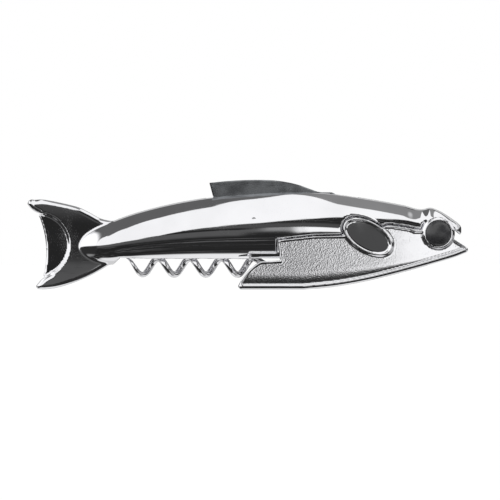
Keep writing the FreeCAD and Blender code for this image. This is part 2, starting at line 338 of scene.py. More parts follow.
def through_stations(column, x):
    """Smooth line through one column of the body's stations."""
    knots, values = BODY_STATIONS[:, 0], BODY_STATIONS[:, column]
    slopes = np.gradient(values, knots)
    i = np.clip(np.searchsorted(knots, x) - 1, 0, len(knots) - 2)
    width = knots[i + 1] - knots[i]
    t = np.clip((x - knots[i]) / width, 0, 1)
    return ((2 * t ** 3 - 3 * t ** 2 + 1) * values[i] + (t ** 3 - 2 * t ** 2 + t) * width * slopes[i]
            + (3 * t ** 2 - 2 * t ** 3) * values[i + 1] + (t ** 3 - t ** 2) * width * slopes[i + 1])


def fish_distance(x, y, z):
    back, belly, half = (through_stations(column, x) for column in (1, 2, 3))
    middle, tall = 0.5 * (back + belly), 0.5 * (back - belly)
    ratio = np.hypot(y / half, (z - middle) / tall) + 1e-6
    steepness = np.hypot(y / half ** 2, (z - middle) / tall ** 2) / ratio + 1e-6
    shell = (ratio - 1) / steepness
    shell = np.maximum(shell, (ratio - 1) * np.minimum(half, tall))
    return blend_max(shell, np.maximum(x - BODY_ENDS[1], BODY_ENDS[0] - x), 0.8)


TAIL_LINE = tail_outline()
BOWL_LINE = bowl_outline()
WEB_LINE = web_outline()
RECESS_LINE = recess_outline()
MOUTH_LINE = mouth_outline()
LEVER_LINE = lever_outline()
BELLY_LINE = belly_line()


def tail_distance(x, y, z):
    thin = TAIL_CROWN * ((z - TAIL_MIDDLE) / TAIL_MIDDLE) ** 2 + TAIL_TAPER * np.maximum(TAIL_ROOT - x, 0)
    plate = rounded_plate(outline_distance(TAIL_LINE, x, z), np.abs(y) - TAIL_HALF + thin, 1.5)
    plate = blend_max(plate, -outline_distance(BOWL_LINE, x, z), 0.4)
    web_thin = WEB_TAPER * np.maximum(WEB_ROOT - x, 0)
    web = rounded_plate(outline_distance(WEB_LINE, x, z), np.abs(y) - WEB_HALF + web_thin, 0.15)
    return blend_min(plate, web, 0.35)


def handle_distance(x, y, z):
    side = np.abs(y)
    shape = fish_distance(x, y, z)
    shape = blend_min(shape, np.where(x < -43.0, tail_distance(x, y, z), 50.0), 0.5)
    recess = outline_distance(RECESS_LINE, x, z)
    fin_gap = oval_place(x, z)[1] - FIN_GAP
    core = np.where(x < WAIST_END, CORE_HALF - WAIST_DEPTH, CORE_HALF)
    core = core - DRAFT * np.maximum(DRAFT_TOP - z, 0) - side
    shape = blend_max(shape, -np.maximum(recess, core), 0.6)
    shape = blend_max(shape, -np.maximum(fin_gap, core), 0.5)
    shape = blend_max(shape, -outline_distance(MOUTH_LINE, x, z), 0.4)
    px, pz = WORM_PIVOT
    cheek = np.minimum(np.hypot(x - px, z - pz) - CHEEK_R,
                       np.maximum(np.abs(x - px) - CHEEK_R, np.maximum(pz - z, z - CHEEK_TOP)))
    shape = blend_min(shape, np.maximum(cheek, side - CORE_HALF), 0.4)
    roof = np.hypot(y, np.maximum(z - CHANNEL_SPRING, 0)) - CHANNEL_HALF
    ramp = np.maximum(CHANNEL_RAMP_TOP - z, 0)
    channel = np.maximum(roof, np.maximum(CHANNEL_ENDS[0] - ramp - x, x - CHANNEL_ENDS[1]))
    shape = blend_max(shape, -channel, 0.5)
    slot = np.maximum(side - SLOT_HALF, np.maximum(SLOT_ENDS[0] - x, x - SLOT_ENDS[1]))
    slot = np.maximum(slot, SLOT_FLOOR - z)
    return blend_max(shape, -slot, 0.15)


def lever_face(x, z):
    """Distances to the lever's outline and belly, half width of its face, and where it is pebbled (1)."""
    flat = outline_distance(LEVER_LINE, x, z)
    from_belly = line_distance(BELLY_LINE, x, z, False)[0]
    ratio, from_fin = oval_place(x, z)
    from_eye = np.hypot(x - EYE[0], z - EYE[1])
    sunk = step_up(np.minimum(from_belly - BELLY_RIM, -flat - EDGE_RIM), 0.0, 0.4)
    sunk = sunk * step_up(from_fin, 0.8, 0.5) * step_up(from_eye, 5.1, 0.4)
    towards_head = np.clip((x - 20.0) / 50.0, 0, 1)
    reach = BELLY_REACH - BELLY_REACH_LOSS * np.clip((x - 28.0) / 30.0, 0, 1)
    towards_belly = np.clip((1.6 + reach - from_belly) / reach, 0, 1)
    drop = FACE_DROP + HEAD_DROP * towards_head ** 2 + BELLY_DROP * reach * towards_belly ** 2
    dish = FIN_DISH + FIN_DISH_SLOPE * (z - FIN_CENTRE[1]) + FIN_DISH_CROWN * (1 - np.minimum(ratio, 1) ** 2)
    face = WALL_OUT - sunk * drop - step_up(-from_fin, -0.1, 0.3) * dish
    face = face + bead(from_fin, *FIN_BEAD) + bead(from_eye, *EYE_BEAD)
    return flat, from_belly, face, sunk


def lever_distance(x, y, z):
    flat, from_belly, face, _ = lever_face(x, z)
    fin = oval_place(x, z)[1] - FIN_FLANGE
    outline = np.minimum(flat, fin)
    side = np.abs(y)
    edge = 0.3 + 0.75 * step_up(-from_belly, -2.5, 1.5)
    wall = np.maximum(rounded_plate(outline, side - face, edge), WALL_IN - side)
    spine = np.maximum(np.maximum(flat, from_belly - SPINE_T), side - WALL_IN - 0.3)
    spine = np.maximum(spine, np.maximum(SPINE_ENDS[0] - x, x - SPINE_ENDS[1]))
    return blend_min(wall, spine, 0.4)


# ---- meshes ----

def fill_diagonals(value, cell, rounds=5):
    """Fills one gap where solid samples touch only corner to corner, so that the net never pinches."""
    unit = np.eye(3, dtype=int)
    for axis in list(range(3)) * rounds:
        u, v = unit[(axis + 1) % 3], unit[(axis + 2) % 3]
        steps = (0 * u, u, u + v, v)
        count = np.array(value.shape) - u - v
        a, b, c, d = (value[tuple(slice(i, i + n) for i, n in zip(step, count))] < 0 for step in steps)
        for place in np.argwhere((a == c) & (b == d) & (a != b)):
            outside = [tuple(place + step) for step in steps if value[tuple(place + step)] >= 0]
            if outside:
                value[min(outside, key=lambda spot: value[spot])] = -0.01 * cell


def net_over(distance, low, high, cell):
    """Quads over the zero surface of a distance: one point per cell that the surface crosses."""
    axes = [np.arange(a - 1.18 * cell, b + 2.5 * cell, cell) for a, b in zip(low, high)]
    grids = np.meshgrid(*axes, indexing="ij", sparse=True)
    value = np.array(np.broadcast_to(distance(*grids), [len(a) for a in axes]))
    fill_diagonals(value, cell)
    inside = value < 0
    size = [n - 1 for n in value.shape]
    corner = {step: tuple(slice(s, s + n) for s, n in zip(step, size))
              for step in itertools.product((0, 1), repeat=3)}
    filled = sum(inside[c].astype(int) for c in corner.values())
    crossed = (filled > 0) & (filled < 8)
    number = np.full(crossed.shape, -1)
    number[crossed] = np.arange(crossed.sum())
    total = np.zeros((crossed.sum(), 3))
    hits = np.zeros(crossed.sum())
    for a, b in itertools.combinations(corner, 2):
        if sum(abs(i - j) for i, j in zip(a, b)) != 1:
            continue
        va, vb = value[corner[a]][crossed], value[corner[b]][crossed]
        cut = (va < 0) != (vb < 0)
        t = np.where(cut, va / np.where(cut, va - vb, 1), 0)
        total += cut[:, None] * (np.array(a) + t[:, None] * (np.array(b) - np.array(a)))
        hits += cut
    cells = np.argwhere(crossed)
    points = np.array([a[0] for a in axes]) + cell * (cells + total / hits[:, None])
    quads = []
    for axis in range(3):
        u, v = (axis + 1) % 3, (axis + 2) % 3
        here = [slice(1, n) for n in size]
        here[axis] = slice(0, size[axis])
        beyond = list(here)
        beyond[axis] = slice(1, size[axis] + 1)
        first, second = inside[tuple(here)], inside[tuple(beyond)]
        rings = []
        for du, dv in ((1, 1), (0, 1), (0, 0), (1, 0)):
            where = list(here)
            where[u] = slice(du, size[u] - 1 + du)
            where[v] = slice(dv, size[v] - 1 + dv)
            rings.append(number[tuple(where)])
        ring = np.stack(rings, axis=-1)
        quads.append(ring[first & ~second])
        quads.append(ring[~first & second][:, ::-1])
    return points, np.vstack(quads)


def settle(distance, points, cell, rounds=3):
    """Moves points onto the zero surface."""
    nudge = 0.02
    for _ in range(rounds):
        x, y, z = points.T
        value = distance(x, y, z)
        slope = np.column_stack([distance(x + nudge, y, z), distance(x, y + nudge, z),
                                 distance(x, y, z + nudge)]) - value[:, None]
        slope /= nudge
        step = slope * (value / np.maximum((slope ** 2).sum(axis=1), 0.2))[:, None]
        length = np.linalg.norm(step, axis=1, keepdims=True)
        points = points - step * np.minimum(1, 0.5 * cell / np.maximum(length, 1e-9))
    return points


def piece_from(name, points, faces):
    mesh = bpy.data.meshes.new(name)
    mesh.from_pydata(np.asarray(points) * MM, [], [list(map(int, face)) for face in faces])
    mesh.update()
    mesh.shade_smooth()
    piece = bpy.data.objects.new(name, mesh)
    bpy.context.scene.collection.objects.link(piece)
    return piece


def cast_piece(name, distance, low, high, cell):
    points, quads = net_over(distance, low, high, cell)
    return piece_from(name, settle(distance, points, cell), quads)


def paint(piece, layer, values):
    attribute = piece.data.attributes.new(layer, "FLOAT", "POINT")
    attribute.data.foreach_set("value", np.asarray(values, np.float32))


def places(piece):
    flat = np.empty(3 * len(piece.data.vertices), np.float32)
    piece.data.vertices.foreach_get("co", flat)
    return flat.reshape(-1, 3) / MM


def dress(piece, material):
    piece.data.materials.clear()
    piece.data.materials.append(material)


def turned_piece(name, profile, side, steps=64):
    """Round piece on the eye's axis from (radius, distance from the middle plane) pairs."""
    points, faces = [], []
    for radius, depth in profile[:-1]:
        for k in range(steps):
            turn = 2 * math.pi * k / steps
            points.append((EYE[0] + radius * math.cos(turn), side * depth, EYE[1] + radius * math.sin(turn)))
    points.append((EYE[0], side * profile[-1][1], EYE[1]))
    points.append((EYE[0], side * profile[0][1], EYE[1]))
    pole, base = len(points) - 2, len(points) - 1
    rings = len(profile) - 1
    for k in range(steps):
        n = (k + 1) % steps
        for r in range(rings - 1):
            faces.append((r * steps + k, r * steps + n, (r + 1) * steps + n, (r + 1) * steps + k))
        faces.append(((rings - 1) * steps + k, (rings - 1) * steps + n, pole))
        faces.append((n, k, base))
    if side > 0:
        faces = [face[::-1] for face in faces]
    return piece_from(name, points, faces)


# ---- shader building ----

class Nodes:
    """Small helper that adds and links nodes in one tree."""

    def __init__(self, tree):
        self.tree = tree

    def add(self, kind, settings=None, **inputs):
        node = self.tree.nodes.new(kind)
        for key, value in (settings or {}).items():
            setattr(node, key, value)
        for key, value in inputs.items():
            socket = node.inputs[int(key[1:])] if key[0] == "i" and key[1:].isdigit() else node.inputs[key]
            self.feed(socket, value)
        return node

    def feed(self, socket, value):
        if isinstance(value, bpy.types.NodeSocket):
            self.tree.links.new(value, socket)
        else:
            socket.default_value = value

    def math(self, operation, *values):
        node = self.tree.nodes.new("ShaderNodeMath")
        node.operation = operation
        for socket, value in zip(node.inputs, values):
            self.feed(socket, value)
        return node.outputs[0]

    def ramp(self, value, start, end, low=0.0, high=1.0):
        node = self.add("ShaderNodeMapRange", {"interpolation_type": "SMOOTHSTEP"}, Value=value)
        node.inputs["From Min"].default_value = start
        node.inputs["From Max"].default_value = end
        node.inputs["To Min"].default_value = low
        node.inputs["To Max"].default_value = high
        return node.outputs["Result"]


def new_group(name, inputs, outputs):
    tree = bpy.data.node_groups.new(name, "ShaderNodeTree")
    for label, kind, default in inputs:
        socket = tree.interface.new_socket(label, in_out="INPUT", socket_type=kind)
        socket.default_value = default
    for label, kind in outputs:
        tree.interface.new_socket(label, in_out="OUTPUT", socket_type=kind)
    nodes = Nodes(tree)
    return tree, nodes, nodes.add("NodeGroupInput"), nodes.add("NodeGroupOutput")


def handling_marks():
    """Smudges, hairline scratches and a polished casting's slow wave: roughness and height in microns."""
    name = "handling marks"
    if name in bpy.data.node_groups:
        return bpy.data.node_groups[name]
    tree, nodes, given, out = new_group(
        name,
        [("Roughness", "NodeSocketFloat", 0.05), ("Smudge", "NodeSocketFloat", 0.05),
         ("Scratch", "NodeSocketFloat", 0.5), ("Wave", "NodeSocketFloat", 10.0)],
        [("Roughness", "NodeSocketFloat"), ("Height", "NodeSocketFloat")])
    place = nodes.add("ShaderNodeTexCoord").outputs["Object"]
    smudge = nodes.add("ShaderNodeTexNoise", None, Vector=place, Scale=90.0, Detail=4.0, Roughness=0.6)
    patch = nodes.ramp(smudge.outputs["Fac"], 0.46, 0.72)
    stretched = nodes.add("ShaderNodeMapping", None, Vector=place, Scale=(120.0, 900.0, 1700.0),
                          Rotation=(0.0, 0.35, 0.0))
    hair = nodes.add("ShaderNodeTexNoise", None, Vector=stretched.outputs["Vector"], Scale=1.0, Detail=2.0)
    line = nodes.math("MULTIPLY", nodes.ramp(hair.outputs["Fac"], 0.62, 0.70), given.outputs["Scratch"])
    swell = nodes.add("ShaderNodeTexNoise", None, Vector=place, Scale=110.0, Detail=0.0)
    wave = nodes.math("MULTIPLY", swell.outputs["Fac"], given.outputs["Wave"])
    worn = nodes.math("MULTIPLY", patch, given.outputs["Smudge"])
    nodes.feed(out.inputs["Roughness"], nodes.math("ADD", worn, given.outputs["Roughness"]))
    nodes.feed(out.inputs["Height"], nodes.math("ADD", line, wave))
    return tree


def pebble_grain():
    """Fine orange-peel dimples of a face left unpolished under its plating: height in microns."""
    name = "pebble grain"
    if name in bpy.data.node_groups:
        return bpy.data.node_groups[name]
    tree, nodes, given, out = new_group(
        name, [("Scale", "NodeSocketFloat", 2400.0), ("Depth", "NodeSocketFloat", 10.0)],
        [("Height", "NodeSocketFloat")])
    place = nodes.add("ShaderNodeTexCoord").outputs["Object"]
    fine = nodes.add("ShaderNodeTexNoise", None, Vector=place, Scale=given.outputs["Scale"], Detail=2.0)
    cells = nodes.add("ShaderNodeTexVoronoi", {"feature": "SMOOTH_F1"}, Vector=place,
                      Scale=given.outputs["Scale"])
    both = nodes.math("ADD", fine.outputs["Fac"], cells.outputs["Distance"])
    nodes.feed(out.inputs["Height"], nodes.math("MULTIPLY", both, given.outputs["Depth"]))
    return tree


def place_group(nodes, tree, **values):
    node = nodes.tree.nodes.new("ShaderNodeGroup")
    node.node_tree = tree
    for key, value in values.items():
        nodes.feed(node.inputs[key], value)
    return node


def new_material(name, metallic=1.0):
    material = bpy.data.materials.new(name)
    material.use_nodes = True
    nodes = Nodes(material.node_tree)
    shader = material.node_tree.nodes["Principled BSDF"]
    shader.inputs["Metallic"].default_value = metallic
    return material, nodes, shader


def tinted(nodes, colour, depth, scale):
    """Colour that drifts a little over the surface, as plating and bare steel do."""
    place = nodes.add("ShaderNodeTexCoord").outputs["Object"]
    cloud = nodes.add("ShaderNodeTexNoise", None, Vector=place, Scale=scale, Detail=3.0)
    mix = nodes.add("ShaderNodeMix", {"data_type": "RGBA"})
    nodes.feed(mix.inputs["Factor"], nodes.ramp(cloud.outputs["Fac"], 0.35, 0.7))
    mix.inputs["A"].default_value = (*colour, 1.0)
    mix.inputs["B"].default_value = (*[depth * c for c in colour], 1.0)
    return mix.outputs["Result"]


def relief(nodes, shader, height):
    """Bumps a shader's normal by a height in microns."""
    bump = nodes.add("ShaderNodeBump", None, Strength=1.0, Distance=MICRON, Height=height)
    nodes.feed(shader.inputs["Normal"], bump.outputs["Normal"])


def marked_metal(name, colour, roughness, smudge, scratch, wave=6.0, depth=0.93, cloud=60.0):
    """Polished or bright metal with handling marks."""
    material, nodes, shader = new_material(name)
    nodes.feed(shader.inputs["Base Color"], tinted(nodes, colour, depth, cloud))
    marks = place_group(nodes, handling_marks(), Roughness=roughness, Smudge=smudge, Scratch=scratch,
                        Wave=wave)
    nodes.feed(shader.inputs["Roughness"], marks.outputs["Roughness"])
    relief(nodes, shader, marks.outputs["Height"])
    return material


def pebbled_chrome(look):
    """Plating that is dimpled where the casting was left rough and mirror-bright on its rims."""
    material, nodes, shader = new_material("pebbled chrome")
    nodes.feed(shader.inputs["Base Color"], tinted(nodes, look.chrome_colour, 0.94, 60.0))
    rough = nodes.add("ShaderNodeAttribute", {"attribute_name": "pebbled"}).outputs["Fac"]
    marks = place_group(nodes, handling_marks(), Roughness=look.chrome_roughness, Smudge=0.05, Scratch=0.5,
                        Wave=3.0)
    spread = nodes.math("MULTIPLY", rough, look.pebble_roughness)
    nodes.feed(shader.inputs["Roughness"], nodes.math("ADD", marks.outputs["Roughness"], spread))
    grain = place_group(nodes, pebble_grain(), Scale=look.pebble_scale, Depth=look.pebble_depth)
    dimples = nodes.math("MULTIPLY", grain.outputs["Height"], rough)
    relief(nodes, shader, nodes.math("ADD", dimples, marks.outputs["Height"]))
    return material


def satin_plastic(look):
    """Moulded black cap: very fine grain and a soft sheen."""
    material, nodes, shader = new_material("satin black plastic", 0.0)
    shader.inputs["Specular IOR Level"].default_value = 0.9
    nodes.feed(shader.inputs["Base Color"], tinted(nodes, look.cap_colour, 1.5, 400.0))
    marks = place_group(nodes, handling_marks(), Roughness=look.cap_roughness, Smudge=0.1, Scratch=1.0,
                        Wave=0.0)
    nodes.feed(shader.inputs["Roughness"], marks.outputs["Roughness"])
    grain = place_group(nodes, pebble_grain(), Scale=3500.0, Depth=3.0)
    relief(nodes, shader, nodes.math("ADD", grain.outputs["Height"], marks.outputs["Height"]))
    return material


def finish(name):
    """Material by name, made the first time it is asked for."""
    if name in bpy.data.materials:
        return bpy.data.materials[name]
    look = bpy.context.scene.fish_look
    if name == "pebbled chrome":
        return pebbled_chrome(look)
    if name == "satin black plastic":
        return satin_plastic(look)
    metals = {
        "polished chrome": {"colour": look.chrome_colour, "roughness": look.chrome_roughness,
                            "smudge": 0.05, "scratch": 0.8, "wave": 14.0},
        "plated wire": {"colour": look.chrome_colour, "roughness": 0.13,
                        "smudge": 0.05, "scratch": 0.2, "wave": 0.0},
        "blade steel": {"colour": look.blade_colour, "roughness": 0.16,
                        "smudge": 0.14, "scratch": 3.0, "wave": 8.0, "depth": 0.6, "cloud": 220.0},
        "pin steel": {"colour": (0.55, 0.55, 0.56), "roughness": 0.2, "smudge": 0.1, "scratch": 2.0},
        "spring steel": {"colour": (0.3, 0.3, 0.32), "roughness": 0.3, "smudge": 0.15, "scratch": 3.0},
    }
    return marked_metal(name, **metals[name])


# ---- settings ----

class FishLook(bpy.types.PropertyGroup):
    chrome_colour: bpy.props.FloatVectorProperty(
        name="Chrome colour", description="Colour of the plating", subtype="COLOR",
        default=(0.86, 0.86, 0.88), min=0.0, max=1.0)
    chrome_roughness: bpy.props.FloatProperty(
        name="Chrome roughness", description="Roughness of polished plating",
        default=0.035, min=0.0, max=1.0)
    pebble_roughness: bpy.props.FloatProperty(
        name="Pebble roughness", description="Roughness added on the pebbled face",
        default=0.07, min=0.0, max=1.0)
    pebble_scale: bpy.props.FloatProperty(
        name="Pebble scale", description="Dimples per metre", default=2500.0, min=1.0)
    pebble_depth: bpy.props.FloatProperty(
        name="Pebble depth", description="Depth of the dimples, in microns",
        default=18.0, min=0.0, max=200.0)
    blade_colour: bpy.props.FloatVectorProperty(
        name="Blade colour", description="Colour of the knife", subtype="COLOR",
        default=(0.24, 0.25, 0.26), min=0.0, max=1.0)
    cap_colour: bpy.props.FloatVectorProperty(
        name="Cap colour", description="Colour of the eye caps", subtype="COLOR",
        default=(0.02, 0.02, 0.022), min=0.0, max=1.0)
    cap_roughness: bpy.props.FloatProperty(
        name="Cap roughness", description="Roughness of the eye caps", default=0.33, min=0.0, max=1.0)


class FishSizes(bpy.types.PropertyGroup):
    casting_cell: bpy.props.FloatProperty(
        name="Casting cell", description="Mesh size on the handle, in millimetres", default=0.43, min=0.2)
    lever_cell: bpy.props.FloatProperty(
        name="Lever cell", description="Mesh size on the lever, in millimetres", default=0.365, min=0.2)
    wire_radius: bpy.props.FloatProperty(
        name="Wire radius", description="Half the worm wire's thickness, in millimetres",
        default=1.1, min=0.2)
    worm_radius: bpy.props.FloatProperty(
        name="Worm radius", description="From the axis to the middle of the wire, in millimetres",
        default=2.8, min=0.2)
    worm_pitch: bpy.props.FloatProperty(
        name="Worm pitch", description="Advance in one turn, in millimetres", default=10.8, min=1.0)
    worm_turns: bpy.props.FloatProperty(
        name="Worm turns", description="Number of turns", default=4.0, min=0.5)
    cap_radius: bpy.props.FloatProperty(
        name="Cap radius", description="Radius of an eye cap, in millimetres", default=4.2, min=0.5)
    cap_height: bpy.props.FloatProperty(
        name="Cap height", description="Height of an eye cap, in millimetres", default=2.0, min=0.2)


class FishStage(bpy.types.PropertyGroup):
    camera_distance: bpy.props.FloatProperty(
        name="Camera distance", description="From the middle of the fish",
        default=2.5, min=0.2, unit="LENGTH")
    frame_width: bpy.props.FloatProperty(
        name="Frame width", description="Width seen at the fish",
        default=0.1705, min=0.05, unit="LENGTH")
    aim_height: bpy.props.FloatProperty(
        name="Aim height", description="Height the camera looks at",
        default=0.0135, min=0.0, unit="LENGTH")
    box_light: bpy.props.FloatProperty(
        name="Box light", description="Brightness of the large soft boxes", default=1.08, min=0.0)
    dark_zone: bpy.props.FloatProperty(
        name="Dark zone", description="Brightness of the dark side of the room", default=0.02, min=0.0)
    face_card: bpy.props.FloatProperty(
        name="Face card", description="Brightness of the grey card beside the camera",
        default=0.28, min=0.0)


# ---- pieces ----

class FISH_OT_handle(bpy.types.Operator):
    """Handle casting: fish body, head and forked tail in one"""
    bl_idname = "fish.handle"
    bl_label = "Handle casting"

    def execute(self, context):
        low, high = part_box("handle_body")
        piece = cast_piece("handle_casting", handle_distance, low / MM, high / MM,
                           context.scene.fish_sizes.casting_cell)
        dress(piece, finish("polished chrome"))
        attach(piece, "handle")
        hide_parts("handle_body")
        return {"FINISHED"}


class FISH_OT_lever(bpy.types.Operator):
    """Boot lever: pebbled side walls with polished rims, the oval side fin and the belly spine"""
    bl_idname = "fish.lever"
    bl_label = "Boot lever"

    def execute(self, context):
        low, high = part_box("boot_lever")
        piece = cast_piece("lever_casting", lever_distance, low / MM, high / MM,
                           context.scene.fish_sizes.lever_cell)
        x, y, z = places(piece).T
        outer = step_up(np.abs(y), WALL_OUT - 1.4, 0.3)
        softer = 1.0 - PEBBLE_LOSS * step_up(x, *PEBBLE_FADE)
        paint(piece, "pebbled", lever_face(x, z)[3] * outer * softer)
        dress(piece, finish("pebbled chrome"))
        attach(piece, "lever")
        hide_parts("boot_lever")
        return {"FINISHED"}


def worm_route(sizes):
    """Middle of the wire and its thickness: tapered point, turns, bend to the axis and shank."""
    start = EYE[0] - WORM_TIP_BACK
    count = int(STEPS_PER_TURN * sizes.worm_turns)
    rows = []
    for i in range(count + 1):
        turn = 2 * math.pi * sizes.worm_turns * i / count
        along = start + sizes.worm_pitch * turn / (2 * math.pi)
        thick = min(1.0, 0.16 + 0.84 * (i / POINT_STEPS) ** 0.7)
        rows.append((along, -sizes.worm_radius * math.sin(turn),
                     WORM_PIVOT[1] + sizes.worm_radius * math.cos(turn), thick))
    last = rows[-1][0]
    for i in range(1, BEND_STEPS + 1):
        t = i / BEND_STEPS
        turn = 0.55 * math.pi * t * (1 - t)
        reach = sizes.worm_radius * (1 - t * t * (3 - 2 * t))
        rows.append((last + BEND_LENGTH * t, -reach * math.sin(turn),
                     WORM_PIVOT[1] + reach * math.cos(turn), 1.0))
    rows.append((WORM_PIVOT[0] - SHANK_GAP, 0.0, WORM_PIVOT[1], 1.0))
    return rows


def wire_tree():
    """Geometry nodes that wrap a line in round wire, as thick as the line says, and give it a material."""
    tree = bpy.data.node_groups.new("wire along a line", "GeometryNodeTree")
    face = tree.interface
    face.new_socket("Line", in_out="INPUT", socket_type="NodeSocketGeometry")
    face.new_socket("Wire radius", in_out="INPUT", socket_type="NodeSocketFloat")
    face.new_socket("Sides", in_out="INPUT", socket_type="NodeSocketInt")
    face.new_socket("Finish", in_out="INPUT", socket_type="NodeSocketMaterial")
    face.new_socket("Wire", in_out="OUTPUT", socket_type="NodeSocketGeometry")
    nodes = Nodes(tree)
    given, out = nodes.add("NodeGroupInput"), nodes.add("NodeGroupOutput")
    ring = nodes.add("GeometryNodeCurvePrimitiveCircle", None, Resolution=given.outputs["Sides"],
                     Radius=given.outputs["Wire radius"])
    tube = nodes.add("GeometryNodeCurveToMesh")
    nodes.feed(tube.inputs["Curve"], given.outputs["Line"])
    nodes.feed(tube.inputs["Profile Curve"], ring.outputs["Curve"])
    tube.inputs["Fill Caps"].default_value = True
    nodes.feed(tube.inputs["Scale"], nodes.add("GeometryNodeInputRadius").outputs["Radius"])
    real = nodes.add("GeometryNodeRealizeInstances", None, Geometry=tube.outputs["Mesh"])
    done = nodes.add("GeometryNodeSetMaterial", None, Geometry=real.outputs["Geometry"],
                     Material=given.outputs["Finish"])
    nodes.feed(out.inputs["Wire"], done.outputs["Geometry"])
    return tree


def wire_mesh(rows, radius, sides, material):
    """Mesh of a round wire that follows rows of (x, y, z, thickness)."""
    curve = bpy.data.curves.new("worm line", "CURVE")
    curve.dimensions = "3D"
    spline = curve.splines.new("POLY")
    spline.points.add(len(rows) - 1)
    for point, row in zip(spline.points, rows):
        point.co = (row[0] * MM, row[1] * MM, row[2] * MM, 1.0)
        point.radius = row[3]
    holder = bpy.data.objects.new("worm line", curve)
    bpy.context.scene.collection.objects.link(holder)
    tree = wire_tree()
    modifier = holder.modifiers.new("wire", "NODES")
    modifier.node_group = tree
    keys = {item.name: item.identifier for item in tree.interface.items_tree if item.in_out == "INPUT"}
    modifier[keys["Wire radius"]] = radius * MM
    modifier[keys["Sides"]] = sides
    modifier[keys["Finish"]] = material
    graph = bpy.context.evaluated_depsgraph_get()
    mesh = bpy.data.meshes.new_from_object(holder.evaluated_get(graph), depsgraph=graph)
    bpy.data.objects.remove(holder)
    return mesh


def eye_ring_mesh(outer, bore, half, steps=48):
    """Flattened eye of the worm: a short tube with rounded rims on the worm's pivot."""
    soft = 0.35
    profile = [(bore, -half + soft), (bore + soft, -half), (outer - soft, -half), (outer, -half + soft),
               (outer, half - soft), (outer - soft, half), (bore + soft, half), (bore, half - soft)]
    points, faces = [], []
    for k in range(steps):
        turn = 2 * math.pi * k / steps
        for radius, depth in profile:
            points.append((WORM_PIVOT[0] + radius * math.cos(turn), depth,
                           WORM_PIVOT[1] + radius * math.sin(turn)))
    sides = len(profile)
    for k in range(steps):
        for i in range(sides):
            a, b = k * sides + i, k * sides + (i + 1) % sides
            n = ((k + 1) % steps) * sides
            faces.append((a, b, n + (i + 1) % sides, n + i))
    return points, faces


class FISH_OT_worm(bpy.types.Operator):
    """Corkscrew worm: pointed wire helix, shank and flattened eye"""
    bl_idname = "fish.worm"
    bl_label = "Corkscrew worm"

    def execute(self, context):
        sizes = context.scene.fish_sizes
        material = finish("plated wire")
        mesh = wire_mesh(worm_route(sizes), sizes.wire_radius, 24, material)
        mesh.shade_smooth()
        wire = bpy.data.objects.new("worm_wire", mesh)
        context.scene.collection.objects.link(wire)
        ring = piece_from("worm_eye", *eye_ring_mesh(outer=3.4, bore=1.35, half=1.3))
        dress(ring, material)
        for piece in (wire, ring):
            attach(piece, "worm")
            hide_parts("corkscrew_worm")
        return {"FINISHED"}


class FISH_OT_knife(bpy.types.Operator):
    """Foil knife: sheet blade with a ground edge, whose back is the dorsal fin"""
    bl_idname = "fish.knife"
    bl_label = "Foil knife"

    def execute(self, context):
        line = knife_outline()
        ahead, behind = np.roll(line, -1, axis=0), np.roll(line, 1, axis=0)
        along = (ahead - behind) / np.linalg.norm(ahead - behind, axis=1)[:, None]
        inward = np.column_stack([-along[:, 1], along[:, 0]])
        edge = step_up(-line[:, 1], -28.9, 0.6) * step_up(-line[:, 0], -23.0, 4.0)
        rim = BLADE_HALF - BACK_BEVEL[0] - (GROUND_BEVEL[0] - BACK_BEVEL[0]) * edge
        width = BACK_BEVEL[1] + (GROUND_BEVEL[1] - BACK_BEVEL[1]) * edge
        inner = line + inward * width[:, None]
        points, faces = [], []
        for sheet, depth in ((inner, -BLADE_HALF), (line, -rim), (line, rim), (inner, BLADE_HALF)):
            depths = np.broadcast_to(depth, len(line))
            points.append(np.column_stack([sheet[:, 0], depths, sheet[:, 1]]))
        count = len(line)
        for ring in range(3):
            for k in range(count):
                n = (k + 1) % count
                faces.append((ring * count + k, ring * count + n, (ring + 1) * count + n,
                              (ring + 1) * count + k))
        faces.append(tuple(range(count))[::-1])
        faces.append(tuple(range(3 * count, 4 * count)))
        piece = piece_from("foil_blade", np.vstack(points), [face[::-1] for face in faces])
        piece.data.set_sharp_from_angle(angle=math.radians(12))
        dress(piece, finish("blade steel"))
        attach(piece, "knife")
        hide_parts("foil_knife")
        return {"FINISHED"}


class FISH_OT_eyes(bpy.types.Operator):
    """Eye caps: two domed plastic caps over the ends of the lever pin"""
    bl_idname = "fish.eyes"
    bl_label = "Eye caps"

    def execute(self, context):
        sizes = context.scene.fish_sizes
        radius, tall = sizes.cap_radius, sizes.cap_height
        shoulder = WALL_OUT + CAP_SKIRT
        profile = [(radius - 0.15, WALL_OUT - 0.02), (radius, WALL_OUT + 0.1), (radius, shoulder)]
        steps = 12
        for i in range(1, steps + 1):
            lean = 0.5 * math.pi * i / steps
            profile.append((radius * math.cos(lean), shoulder + (tall - CAP_SKIRT) * math.sin(lean)))
        sides = (("eye_dome_front", "eye_cap_front", -1), ("eye_dome_rear", "eye_cap_rear", 1))
        for name, node, side in sides:
            piece = turned_piece(name, profile, side)
            dress(piece, finish("satin black plastic"))
            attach(piece, "lever")
            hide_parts(node)
        return {"FINISHED"}


class FISH_OT_hardware(bpy.types.Operator):
    """Pins, spacers and back spring, which keep their modelled shapes"""
    bl_idname = "fish.hardware"
    bl_label = "Pins and spring"

    def execute(self, context):
        pins = ("lever_pin", "worm_pin", "worm_spacer_front", "worm_spacer_rear", "knife_pin", "spring_pin")
        for name in pins:
            dress(frame["nodes"][name], finish("pin steel"))
        dress(frame["nodes"]["knife_spring"], finish("spring steel"))
        return {"FINISHED"}


